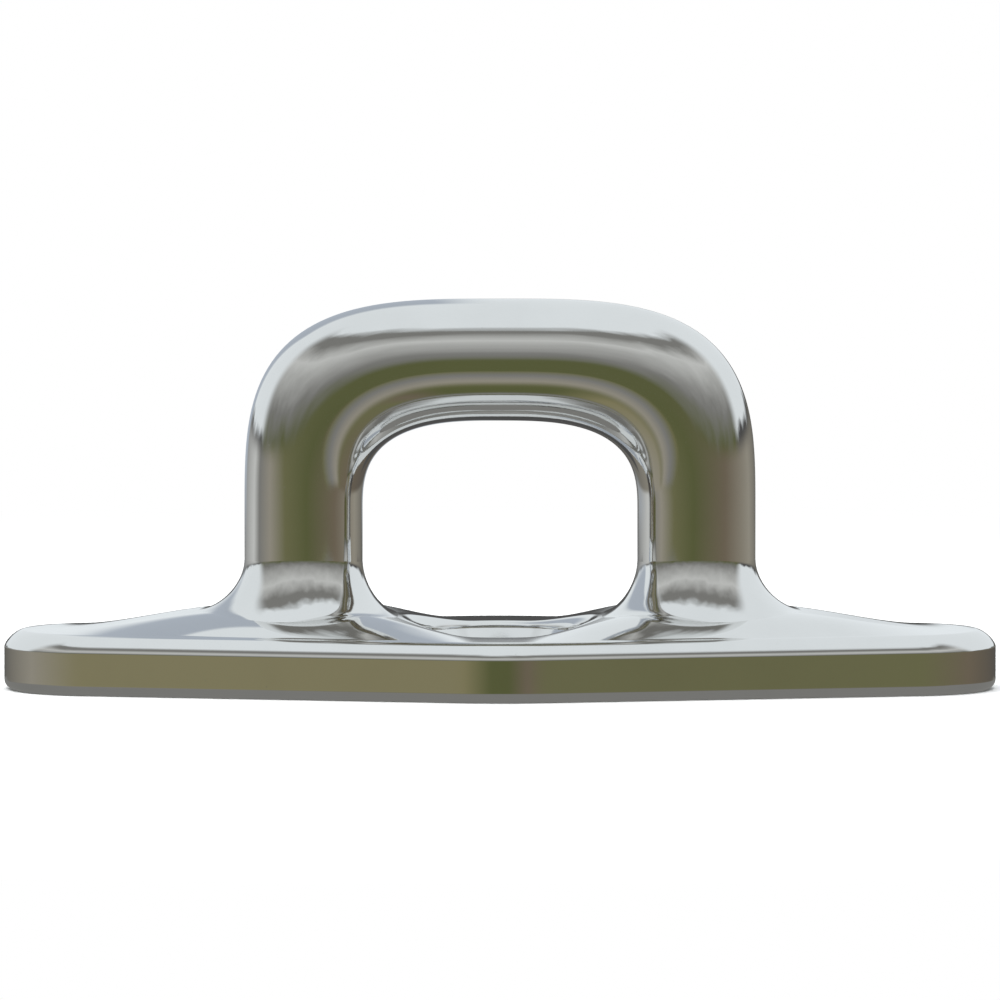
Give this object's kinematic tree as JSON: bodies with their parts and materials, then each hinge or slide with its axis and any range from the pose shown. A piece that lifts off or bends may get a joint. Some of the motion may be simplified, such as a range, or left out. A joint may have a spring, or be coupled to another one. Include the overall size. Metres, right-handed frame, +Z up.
{
  "type": "deck pad eye",
  "caption": "Low eye for a rope or shackle: a round-bar bow standing on a rounded-diamond foot plate, fixed down through a countersunk hole under the bow.",
  "frame": {"origin": "middle of the foot plate's underside, on the axis of the screw hole", "axes": "+X along the plate through both legs of the bow, +Y across the plate along the way through the eye, +Z up away from the deck"},
  "size_m": [0.1, 0.036, 0.0394],
  "materials": {
    "polished_plate": "mirror polished stainless steel",
    "polished_bow": "mirror polished stainless steel",
    "dressed_weld": "weld dressed and polished flush",
    "ground_weld": "weld ground flat, left unpolished"
  },
  "bodies": {
    "root": {"base_plate": "polished_plate", "bow": "polished_bow", "left_foot_weld": "dressed_weld", "right_foot_weld": "dressed_weld", "left_root_weld": "ground_weld", "right_root_weld": "ground_weld"}
  },
  "joints": []
}
